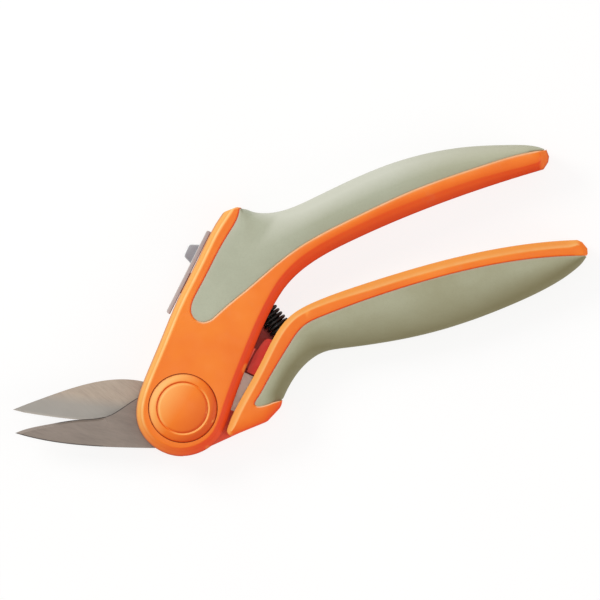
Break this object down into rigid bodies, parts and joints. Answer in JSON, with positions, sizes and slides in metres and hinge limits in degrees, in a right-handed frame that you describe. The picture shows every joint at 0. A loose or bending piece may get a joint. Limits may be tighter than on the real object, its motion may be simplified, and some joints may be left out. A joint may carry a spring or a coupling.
{
  "type": "floral snips",
  "caption": "Hand snips with short pointed blades set at an angle to a pistol-shaped body, soft-gripped handles, a return spring and a slide lock.",
  "frame": {"origin": "on the pivot axis, in the flat face of the rear pivot cap that the tool lies on", "axes": "+Z along the pivot axis towards the front face, +X from the blades towards the handles' ends, +Y towards the upper handle"},
  "size_m": [0.2159, 0.1168, 0.0225],
  "materials": {
    "orange_plastic": "satin moulded plastic",
    "soft_grip": "matt moulded elastomer",
    "blade_steel": "ground, with a fine grain",
    "hardware_steel": "zinc plated",
    "spring_black": "black oxide wire",
    "slider_plastic": "satin moulded plastic"
  },
  "bodies": {
    "body": {"front_cover": "orange_plastic", "rear_cover": "orange_plastic", "upper_grip_front": "soft_grip", "upper_grip_rear": "soft_grip", "pivot_cap_front": "orange_plastic", "pivot_cap_rear": "orange_plastic", "pivot_bolt": "hardware_steel", "pivot_nut": "hardware_steel", "pivot_washer_front": "hardware_steel", "pivot_washer_rear": "hardware_steel", "cover_screw_1": "hardware_steel", "cover_screw_2": "hardware_steel", "cover_screw_3": "hardware_steel", "cover_screw_4": "hardware_steel", "cover_screw_5": "hardware_steel", "blade_dowel_lower": "hardware_steel", "blade_dowel_upper": "hardware_steel", "fixed_blade": "blade_steel", "return_spring": "spring_black"},
    "lower_handle": {"lower_handle_core": "orange_plastic", "lower_grip": "soft_grip", "moving_blade": "blade_steel", "tang_pin_1": "hardware_steel", "tang_pin_2": "hardware_steel"},
    "lock": {"lock_slider": "slider_plastic", "lock_bar": "hardware_steel", "lock_bar_rivet": "hardware_steel", "lock_detent_spring": "hardware_steel"}
  },
  "joints": [
    {"name": "handle_pivot", "type": "hinge", "parent": "body", "child": "lower_handle", "pos_m": [0, 0, 0.011], "axis": [0, 0, 1], "range_deg": [0, 7.6], "stiffness_Nm_per_rad": 1.5, "springref_deg": -2.86, "deforming": ["return_spring"]},
    {"name": "lock_slide", "type": "slide", "parent": "body", "child": "lock", "axis": [-0.4478, -0.8942, 0], "range_m": [0, 0.007]}
  ]
}
